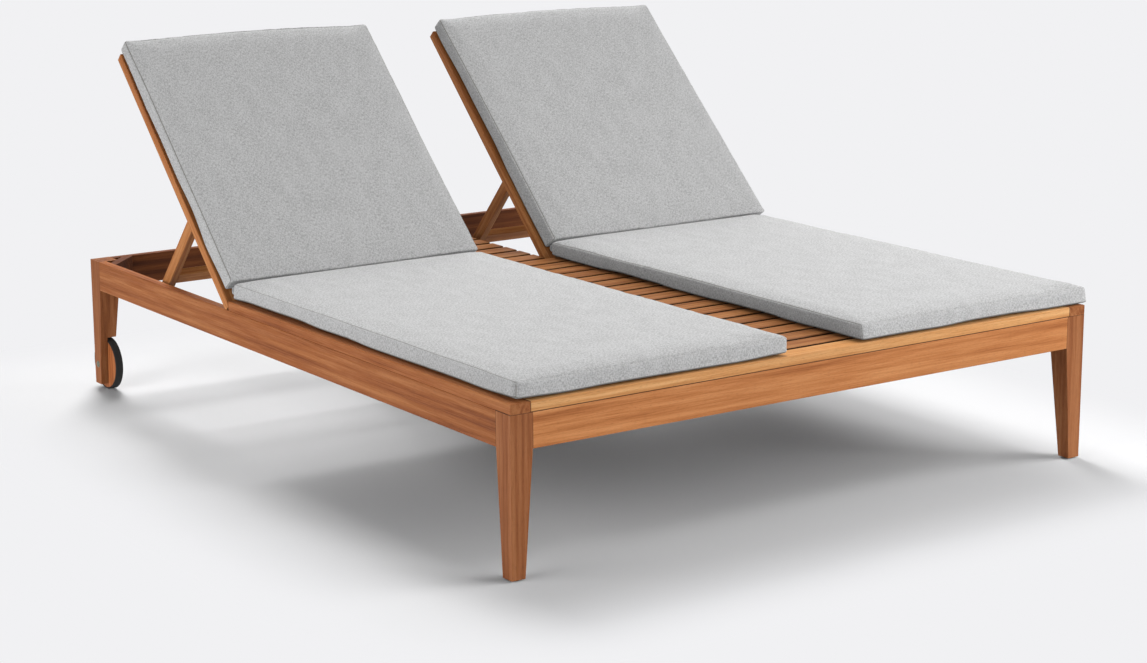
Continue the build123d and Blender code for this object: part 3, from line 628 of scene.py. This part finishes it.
# each cushion's own set: how it was laid down and how it was sewn
# shift: sideways at the near and far end, of its base and then of its top
# joins: places of the join in the left and in the right side
cushionSets = {
    "seatCushion_left": dict(
        seatLook, shift=(0.003, -0.003, 0.004, -0.004), joins=(0.539, 0.42), tuck=0.0060,
        topSeam=0.85, cornerSeam=0.5,
        creases=((0.540, 0.006, 0.0022), (0.556, 0.005, -0.0020), (0.575, 0.006, 0.0014))),
    "seatCushion_right": dict(
        seatLook, shift=(0.004, 0.004, -0.002, -0.002), joins=(0.381, 0.56),
        creases=((0.672, 0.006, 0.0024), (0.656, 0.005, -0.0020), (0.39, 0.007, 0.0018))),
    "backCushion_left": dict(backLook, shift=(-0.002, -0.003, 0.004, -0.003), joins=(0.36, 0.5)),
    "backCushion_right": dict(backLook, shift=(-0.009, -0.010, 0.009, -0.008), joins=(0.44, 0.5)),
}
tiny = 1e-6
restGap = 0.0002            # between a cushion and what it lies on
isTop, isBand, isUnder = 0, 1, 2
underWeave, bandWeave, endWeave = 3.0, 6, 3.0   # other places in the weave, and in the random lines
cutSeed, sewnSeed, sewnStep, flapSeed = 20, 60, 7, 90


# from 0 to 1 without a corner
def smooth(t):
    t = np.clip(t, 0, 1)
    return t * t * (3 - 2 * t)


# a smooth random line: one value for each point of t, about -1 to 1, features one unit long
def wobble(t, seed):
    count = 4096
    table = np.random.default_rng(seed).uniform(-1, 1, count)
    low = np.floor(t).astype(int)
    share = smooth(t - low)
    return table[low % count] * (1 - share) + table[(low + 1) % count] * share


# mesh lines from 0 to length, close together at both seams
def meshLines(length, look):
    first = look["seamRow"]
    inner = [first, first + look["nextRow"]]
    room = length - 2 * inner[-1]
    count = max(1, round(room / look["cell"]))
    middle = [inner[-1] + room * i / count for i in range(1, count)]
    return np.array([0.0] + inner + middle + [length - v for v in reversed(inner)] + [length])


# how far a square corner of this radius moves when it is rounded: dx and dy are 0 outside the corner
def rounded(dx, dy):
    inside = (dx > 0) & (dy > 0)
    scale = np.where(inside, np.maximum(dx, dy) / np.maximum(np.hypot(dx, dy), 1e-9), 1.0)
    return dx * (1 - scale), dy * (1 - scale)


# a closed box on mesh lines: the number of each grid place, the points, their kinds, the faces and
# each face's corners in the weave
def boxGrid(us, vs, band):
    nu, nv, nw = len(us), len(vs), len(band)
    index, points, kinds = {}, [], []

    def vertex(i, j, k):
        key = (i, j, k)
        if key not in index:
            index[key] = len(points)
            points.append((us[i] - us[-1] / 2, vs[j], band[k]))
            kinds.append(isTop if k == nw - 1 else (isUnder if k == 0 else isBand))
        return index[key]

    faces, uvs = [], []
    for i in range(nu - 1):
        for j in range(nv - 1):
            for k, order in ((nw - 1, 1), (0, -1)):
                corners = [(i, j), (i + 1, j), (i + 1, j + 1), (i, j + 1)][::order]
                faces.append([vertex(a, b, k) for a, b in corners])
                uvs.append([(us[a], vs[b] + (underWeave if k == 0 else 0.0)) for a, b in corners])
    ring = ([(i, 0) for i in range(nu - 1)] + [(nu - 1, j) for j in range(nv - 1)]
            + [(i, nv - 1) for i in range(nu - 1, 0, -1)] + [(0, j) for j in range(nv - 1, 0, -1)])
    run = 0.0
    for n, (i, j) in enumerate(ring):
        a, b = ring[(n + 1) % len(ring)]
        step = abs(us[a] - us[i]) + abs(vs[b] - vs[j])
        for k in range(nw - 1):
            faces.append([vertex(i, j, k), vertex(a, b, k), vertex(a, b, k + 1), vertex(i, j, k + 1)])
            low, high = bandWeave + band[k], bandWeave + band[k + 1]
            uvs.append([(run, low), (run + step, low), (run + step, high), (run, high)])
        run += step
    return index, np.array(points), np.array(kinds), faces, uvs


# how far each point of the box lies from the long sides and from the ends
def insets(pts, width, length):
    return width / 2 - np.abs(pts[:, 0]), np.minimum(pts[:, 1], length - pts[:, 1])


# the points of the box, moved to the cut shape
def cutShape(pts, kind, width, length, look, seed):
    x, y, z = pts.T
    edge, half = look["edge"], width / 2
    fromSide, fromEnd = insets(pts, width, length)
    near = y < length / 2
    sideSign, endSign = np.sign(x), np.where(near, -1, 1)
    # rounded corners in plan, then the cloth rolls over both ends
    r = np.where(near, look["cornerNear"], look["cornerFar"])
    moveX, moveY = rounded(r - fromSide, r - fromEnd)
    roll = np.where(near, look["rollNear"], look["rollFar"])
    tight = np.minimum(look["rollCorner"], roll)
    roll = tight + (roll - tight) * smooth(fromSide / look["rollReach"])
    backY, backZ = rounded(roll - fromEnd, roll - (edge - z))
    x = x - sideSign * moveX
    y = y - endSign * (moveY + np.where(kind == isUnder, 0, backY))
    z = z - np.where(kind == isUnder, 0, backZ)
    # the long sides pull in between the corners, and the ends bow in or out
    share = np.clip(2 * y / length - 1, -1, 1)
    x = x - sideSign * look["drawIn"] * (1 - share ** 2) * np.abs(x) / half
    flat = np.clip(np.abs(x) / half, 0, 1)
    bow = np.where(near, -look["bowNear"] * (1 - flat ** 2), -look["bowFar"] * flat ** 2)
    y = y + bow * np.exp(-fromEnd / look["bowReach"])
    # crown on top, bulge on the sides, lifted edge below
    drop = np.where(near, look["dropNear"], look["dropFar"])
    rise = (1 - np.exp(-fromSide / look["crownReach"])) * (1 - drop * np.exp(-fromEnd / look["crownReach"]))
    onSide, onEnd = (kind == isBand) & (fromSide < tiny), (kind == isBand) & (fromEnd < tiny)
    z = z + look["crown"] * rise * np.where(kind == isTop, 1, np.where(onEnd, z / edge, 0))
    height = z / edge
    wander = 1 + look["liftWander"] * wobble((x + y) / look["liftLength"], seed)
    lift = look["underLift"] * wander * np.exp(-np.minimum(fromSide, fromEnd) / look["liftReach"])
    z = np.where(kind == isUnder, z + lift, np.where(kind == isBand, z + lift * (1 - height), z))
    swell = look["bulge"] * 4 * np.clip(height, 0, 1) * (1 - np.clip(height, 0, 1))
    swell += look["lip"] * np.exp(-((z - look["seamRow"]) / look["lipReach"]) ** 2)
    x = x + np.where(onSide, sideSign * swell, 0)
    y = y + np.where(onEnd, endSign * swell * look["bulgeEnd"], 0)
    y = y - np.where(near, 0, look["lean"] * height * np.exp(-fromEnd / look["leanReach"]))
    # laid a little askew
    share, height = y / length, np.clip(z / edge, 0, 1)
    base = look["shift"][0] * (1 - share) + look["shift"][1] * share
    x = x + base + (look["shift"][2] * (1 - share) + look["shift"][3] * share - base) * height
    return np.stack([x, y, z], 1)


# seams: along both long sides, the bottom edge, the four corner joins, and a join in each long side; the
# bottom edge's high values widen its line into painted shadow of the gap under the cushion
def seamAndShadeValues(index, us, vs, band, look):
    joins = [int(np.argmin(np.abs(vs - vs[-1] * s))) for s in look["joins"]]
    seamAndShade = np.zeros(len(index), np.float32)
    for (i, j, k), n in index.items():
        onSide, onEnd = i in (0, len(us) - 1), j in (0, len(vs) - 1)
        if onSide and k in (0, len(band) - 1):
            seamAndShade[n] = look["topSeam"] if k else look["hemSeam"]
        elif onEnd and k == 0:
            seamAndShade[n] = look["nearSeam"] if j == 0 else look["hemSeam"]
        elif onSide and onEnd:
            seamAndShade[n] = look["cornerSeam"]
        elif onSide and j == joins[0 if i == 0 else 1]:
            seamAndShade[n] = look["joinSeam"]
    return seamAndShade


# the cut cushion as one closed mesh, which keeps what the simulation and the sewing need to know
def cutCushion(name, width, length, look, seed):
    us, vs = meshLines(width, look), meshLines(length, look)
    edge, row = look["edge"], look["seamRow"]
    band = np.array([0.0, row, *look["bandRows"], edge - look["bandTop"], edge - row, edge])
    index, pts, kind, faces, uvs = boxGrid(us, vs, band)
    mesh = bpy.data.meshes.new(name)
    mesh.from_pydata(cutShape(pts, kind, width, length, look, seed).tolist(), [], faces)
    layer = mesh.uv_layers.new(name="weave")
    layer.data.foreach_set("uv", np.array([c for face in uvs for c in face], np.float32).ravel())
    # how far each point lies from a seam; the top has none along its ends
    across, along, up = pts.T
    fromSide, fromEnd = insets(pts, width, length)
    inward = np.where(kind == isTop, fromSide, np.minimum(fromSide, fromEnd))
    away = np.where(kind == isBand, np.minimum(up, edge - up), inward)
    labels = {"seamAndShade": seamAndShadeValues(index, us, vs, band, look), "away": away, "along": along,
              "side": fromSide < fromEnd, "top": kind == isTop, "under": kind == isUnder,
              "leftSide": (fromSide < tiny) & (across < 0)}
    for label, values in labels.items():
        mesh.attributes.new(label, "FLOAT", "POINT").data.foreach_set("value", np.array(values, np.float32))
    return addPiece(name, mesh)


# three numbers of each point
def triples(items, key):
    values = np.zeros(len(items) * 3, np.float32)
    items.foreach_get(key, values)
    return values.reshape(-1, 3).astype(float)


def positions(mesh):
    return triples(mesh.vertices, "co")


def setPositions(mesh, values):
    mesh.vertices.foreach_set("co", values.astype(np.float32).ravel())
    mesh.update()


def attribute(mesh, label):
    values = np.zeros(len(mesh.vertices), np.float32)
    mesh.attributes[label].data.foreach_get("value", values)
    return values


# the finished cloth of a cushion or strip
def coverInCloth(mesh):
    for polygon in mesh.polygons:
        polygon.use_smooth = True
    mesh.materials.append(cloth)


# air pressure tightens and swells the cloth, as the foam does; the underside stays where it rests
# each point keeps the direction of its move, and the length is held below the cap
def inflate(piece, look):
    base = positions(piece.data)
    under, top = attribute(piece.data, "under") > 0.5, attribute(piece.data, "top") > 0.5
    group = piece.vertex_groups.new(name="held")
    group.add([int(n) for n in np.nonzero(under)[0]], 1.0, "REPLACE")
    modifier = piece.modifiers.new("swell", "CLOTH")
    settings = modifier.settings
    settings.quality = look["quality"]
    settings.mass = look["mass"]
    settings.tension_stiffness = settings.compression_stiffness = look["tension"]
    settings.shear_stiffness = look["shear"]
    settings.bending_stiffness = look["bending"]
    settings.vertex_group_mass = "held"
    settings.use_pressure = True
    settings.uniform_pressure_force = look["pressure"]
    settings.effector_weights.gravity = 0
    modifier.collision_settings.use_collision = False
    modifier.point_cache.frame_start, modifier.point_cache.frame_end = 1, look["frames"]
    for number in range(1, look["frames"] + 1):
        scene.frame_set(number)
    solved = piece.evaluated_get(bpy.context.evaluated_depsgraph_get())
    moved = positions(solved.data) - base
    piece.modifiers.remove(modifier)
    piece.vertex_groups.clear()
    scene.frame_set(1)
    size = np.maximum(np.linalg.norm(moved, axis=1), 1e-9)
    cap = np.where(top, look["capTop"], look["capSide"])
    moved *= (cap * np.tanh(size / cap) / size)[:, None]
    setPositions(piece.data, base + moved)
    return float(size.max())


# seams sink between two soft rolls, then the mesh is subdivided and the cloth puckers along them
def sewCushion(piece, look, seed):
    mesh = piece.data
    at, seamAndShade, away = positions(mesh), attribute(mesh, "seamAndShade"), attribute(mesh, "away")
    roll = (away > tiny) & (away < look["seamRow"] * 1.2) & (seamAndShade < 0.5)
    push = np.where(roll, look["rollUp"], 0) - np.minimum(seamAndShade, 1) * look["groove"]
    at += triples(mesh.vertex_normals, "vector") * push[:, None]
    setPositions(mesh, at)
    modifier = piece.modifiers.new("smooth", "SUBSURF")
    modifier.levels = modifier.render_levels = 1
    finished = settle(piece)
    at, away, side = positions(finished), attribute(finished, "away"), attribute(finished, "side")
    seamAndShade, under = attribute(finished, "seamAndShade"), attribute(finished, "under")
    along, left = attribute(finished, "along"), attribute(finished, "leftSide")
    run = np.where(side > 0.5, at[:, 1], at[:, 0] + endWeave)
    edge = np.exp(-(away / look["puckerReach"]) ** 2)
    least, calm = look["puckerLeast"], look["seamCalm"]
    wander = least + (1 - least) * np.abs(wobble(run / look["puckerWander"], seed + 1))
    ridge = wobble(run / look["puckerLength"], seed) * wander
    slow = wobble(at[:, 0] / look["slowAcross"], seed + 2) * wobble(at[:, 1] / look["slowAlong"], seed + 3)
    push = look["pucker"] * ridge * edge * (1 - calm * np.minimum(seamAndShade, 1)) + look["slow"] * slow * (1 - edge)
    push = np.where(under > 0.5, np.minimum(push, 0) * look["underShare"], push)
    # creases across the left side, and the tuck at its near corner, whose fold also gets painted shade in the
    # seam colour
    height = np.clip(at[:, 2] / look["edge"], 0, 1)
    length = along.max()
    for share, width, high in look["creases"]:
        push += left * high * np.exp(-((along - share * length) / width) ** 2) * 4 * height * (1 - height)
    tuck = np.exp(-((along - look["tuckAt"]) / look["tuckWide"]) ** 2)
    tuck = tuck * smooth(height / look["tuckFoot"]) * smooth((look["tuckTop"] - height) / look["tuckHead"])
    push -= left * look["tuck"] * tuck
    # painted shade in the tuck's fold, carried by the same attribute as the seams
    paintedFoldShade = np.where(look["tuck"] > 0, left * tuck * look["tuckSeam"], 0)
    finished.attributes["seamAndShade"].data.foreach_set("value", np.maximum(seamAndShade, paintedFoldShade).astype(np.float32))
    at += triples(finished.vertex_normals, "vector") * push[:, None]
    wave = look["edgeWave"] * wobble(run / look["edgeWaveLength"], seed + 4)
    at[:, 2] += wave * edge * (at[:, 2] > look["edgeWaveFrom"])
    setPositions(finished, at)
    for label in ("away", "side", "along", "top", "under", "leftSide"):
        finished.attributes.remove(finished.attributes[label])
    coverInCloth(finished)


tilt = Matrix.Rotation(restTilt, 4, "X")
onHinge = Matrix.Translation((0, hinge.y, hinge.z))
for number, (name, look) in enumerate(sorted(cushionSets.items())):
    side = name.split("_")[1]
    if name.startswith("seat"):
        node = f"seat_cushion_{side}"
        low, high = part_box(node)
        long = high.y - low.y
        place = Matrix.Translation(((low.x + high.x) / 2, low.y, low.z + restGap))
    else:
        # along the back: the low end of the CAD cushion, measured from the hinge
        node = f"back_cushion_{side}"
        low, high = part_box(node)
        flat = [(onHinge @ tilt).inverted() @ v.co for v in nodes[node].data.vertices]
        start, base = min(c.y for c in flat), min(c.z for c in flat)
        long = max(c.y for c in flat) - start
        place = onHinge @ tilt @ Matrix.Translation(((low.x + high.x) / 2, start, base + restGap))
    # it is cut smaller by about what it will swell
    grow = look["bulge"] + ((look["capSide"] * look["capUsed"]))
    piece = cutCushion(name, high.x - low.x - 2 * grow, long - grow, look, cutSeed + number)
    print(name, "swelled by up to", round(inflate(piece, look) * 1000, 1), "mm")
    sewCushion(piece, look, sewnSeed + sewnStep * number)
    piece.data.transform(place @ Matrix.Translation((0, grow / 2, 0)))
    piece.data.update()
    if name.startswith("seat"):
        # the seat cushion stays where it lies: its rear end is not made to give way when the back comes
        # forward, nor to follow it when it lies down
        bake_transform(piece)
    else:
        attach(piece, f"{side}_back")
    at = positions(piece.data)
    print(name, "from", (at.min(0) * 1000).round(1), "to", (at.max(0) * 1000).round(1), "mm")
    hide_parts(node)
print("cushions done")


# the strip of cloth that joins each seat cushion to its back cushion, folded down into the gap
flapLook = {
    "thick": 0.0014,
    "inset": 0.006,         # from the sides of the cushions
    "columns": 64,
    "wave": 0.0012,
    "waveLength": 0.05,
    "plainWeave": (9.0, 0.0),   # one place in the weave for the narrow ends
    # along the fold from the seat cushion to the back cushion: distance rearward and up, in the frame
    "path": ((0.1888, 0.3930), (0.1915, 0.3890), (0.1935, 0.3845), (0.1965, 0.3815), (0.2000, 0.3830),
             (0.2022, 0.3870), (0.2018, 0.3920), (0.2005, 0.3965)),
}


# a closed thin strip along the path, a little wavy across its width
def makeFlap(name, x0, x1, look, seed):
    path = np.array(look["path"])
    step = np.gradient(path, axis=0)
    step /= np.linalg.norm(step, axis=1)[:, None]
    side = np.stack([-step[:, 1], step[:, 0]], 1) * look["thick"] / 2
    outline = np.concatenate([path + side, (path - side)[::-1]])
    lengths = np.concatenate([[0], np.cumsum(np.linalg.norm(np.diff(path, axis=0), axis=1))])
    around = np.concatenate([lengths, lengths[::-1] + look["thick"]])
    xs = np.linspace(x0, x1, look["columns"])
    loose = np.sin(np.pi * np.concatenate([lengths, lengths[::-1]]) / lengths[-1])
    points, faces, uvs = [], [], []
    count = len(outline)
    for x in xs:
        shift = look["wave"] * loose * wobble(np.full(count, x / look["waveLength"]), seed)
        points += [(x, y, z + s) for (y, z), s in zip(outline, shift)]
    for c in range(len(xs) - 1):
        for n in range(count):
            m = (n + 1) % count
            faces.append((c * count + n, c * count + m, (c + 1) * count + m, (c + 1) * count + n))
            uvs += [(xs[c], around[n]), (xs[c], around[m]), (xs[c + 1], around[m]), (xs[c + 1], around[n])]
    half = len(path)
    for c, turned in ((0, False), (len(xs) - 1, True)):
        for n in range(half - 1):
            quad = [c * count + n, c * count + count - 1 - n, c * count + count - 2 - n, c * count + n + 1]
            faces.append(quad[::-1] if turned else quad)
            uvs += [look["plainWeave"]] * 4
    mesh = bpy.data.meshes.new(name)
    mesh.from_pydata(points, [], faces)
    layer = mesh.uv_layers.new(name="weave")
    layer.data.foreach_set("uv", np.array(uvs, np.float32).ravel())
    sheet = bmesh.new()
    sheet.from_mesh(mesh)
    bmesh.ops.recalc_face_normals(sheet, faces=sheet.faces)
    sheet.to_mesh(mesh)
    sheet.free()
    coverInCloth(mesh)
    return addPiece(name, mesh), float(lengths[-1])


for number, side in enumerate(("left", "right")):
    seatLow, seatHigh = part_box(f"seat_cushion_{side}")
    backLow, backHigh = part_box(f"back_cushion_{side}")
    x0 = max(seatLow.x, backLow.x) + flapLook["inset"]
    x1 = min(seatHigh.x, backHigh.x) - flapLook["inset"]
    piece, long = makeFlap(f"cushionFlap_{side}", x0, x1, flapLook, flapSeed + number)
    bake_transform(piece)
print("flaps done")


# pale seamless paper under and behind, soft lamps
# beyond the lounger the paper is lit so brightly that it shows plain, from fadeFrom to fadeTo past its feet
floorLook = {
    "radius": 30.0,
    "near": "#E1E1E2",
    "far": "#F1F1F3",
    "fadeFrom": 0.08,
    "fadeTo": 0.50,
    "footprint": (0.80, 1.017, 0.0),
    "throw": 0.5,               # light that the bright paper throws on the lounger
    "fill": "#F4F6FA",
    "fillStrength": 0.02,
}

floorMesh = bpy.data.meshes.new("floor")
floorSheet = bmesh.new()
bmesh.ops.create_circle(floorSheet, cap_ends=True, radius=floorLook["radius"], segments=96)
floorSheet.to_mesh(floorMesh)
floorSheet.free()
floor = addPiece("floor", floorMesh)
material, tree, shader = newMaterial("paperFloor")
shader.inputs["Base Color"].default_value = toLinear(floorLook["near"])
shader.inputs["Roughness"].default_value = 0.9
shader.inputs["Specular IOR Level"].default_value = 0.1
place = vectorOf(tree, "ABSOLUTE", addNode(tree, "ShaderNodeTexCoord").outputs["Object"])
place = vectorOf(tree, "MAXIMUM", vectorOf(tree, "SUBTRACT", place, floorLook["footprint"]), (0.0, 0.0, 0.0))
reach = vectorOf(tree, "LENGTH", place, gives="Value")
fade = rangeOf(tree, reach, floorLook["fadeFrom"], floorLook["fadeTo"])


# 1 for the rays that should see the plain background
def seenBackground(tree):
    rays = addNode(tree, "ShaderNodeLightPath").outputs
    total = mathOf(tree, "ADD", rays["Is Camera Ray"], rays["Is Glossy Ray"])
    return mathOf(tree, "ADD", total, rays["Is Transmission Ray"], clamp=True)


strength = rangeOf(tree, seenBackground(tree), 0.0, 1.0, floorLook["throw"], 1.0, "LINEAR")
glow = addNode(tree, "ShaderNodeEmission", {}, {"Color": toLinear(floorLook["far"]), "Strength": strength})
joined = addNode(tree, "ShaderNodeMixShader", {}, {
    0: fade, 1: shader.outputs["BSDF"], 2: glow.outputs["Emission"]})
tree.links.new(joined.outputs["Shader"], tree.nodes["Material Output"].inputs["Surface"])
floor.data.materials.append(material)

world = bpy.data.worlds.new("studio")
scene.world = world
world.use_nodes = True
tree = world.node_tree
tree.nodes.clear()
seen = addNode(tree, "ShaderNodeBackground", {}, {"Color": toLinear(floorLook["far"]), "Strength": 1.0})
fill = addNode(tree, "ShaderNodeBackground", {}, {
    "Color": toLinear(floorLook["fill"]), "Strength": floorLook["fillStrength"]})
pick = addNode(tree, "ShaderNodeMixShader", {}, {
    0: seenBackground(tree), 1: fill.outputs[0], 2: seen.outputs[0]})
addNode(tree, "ShaderNodeOutputWorld", {}, {"Surface": pick.outputs[0]})

# lamp: place, what it points at, width, power in watts
lamps = {
    "behind": ((2.2, 6.2, 4.05), (0, 0.2, 0.4), 3.8, 372),
    "behindHigh": ((0.9, 4.8, 6.1), (0, 0, 0.3), 3.0, 405),
    "overhead": ((-0.9, 0.2, 3.8), (0, 0, 0.2), 2.4, 8),
    "rightHigh": ((3.6, -2.6, 3.4), (0, -0.3, 0.2), 2.0, 104),
    "frontRight": ((3.4, -4.8, 2.3), (0, -0.4, 0.3), 2.6, 138),
    "lowFront": ((0.3, -3.2, 0.35), (0.1, -1.0, 0.35), 2.4, 28),
    "left": ((-4.2, -1.0, 2.0), (-0.6, -0.2, 0.3), 2.2, 47),
    "leftLow": ((-3.2, 0.2, 0.25), (-0.8, 0, 0.2), 1.2, 43),
}
for name, (at, target, size, power) in lamps.items():
    lamp = bpy.data.lights.new(name, "AREA")
    lamp.shape, lamp.size, lamp.energy = "SQUARE", size, power
    holder = addPiece(name, lamp)
    holder.matrix_world = (Matrix.Translation(at)
                           @ (Vector(target) - Vector(at)).to_track_quat("-Z", "Y").to_matrix().to_4x4())
    holder.visible_camera = False
    # the lamps behind are left out of reflections
    holder.visible_glossy = not name.startswith("behind")

cameraLook = {"place": (-3.4124, -4.9908, 1.5911), "turn": (77.2539, 0.2126, -34.8741),
              "lens": 78.287, "furthest": 200}
camera = addPiece("camera", bpy.data.cameras.new("camera"))
camera.location = cameraLook["place"]
camera.rotation_euler = [math.radians(v) for v in cameraLook["turn"]]
camera.data.lens = cameraLook["lens"]
camera.data.clip_end = cameraLook["furthest"]
scene.camera = camera
scene.view_settings.view_transform = "Standard"
print("floor, lamps and camera done")
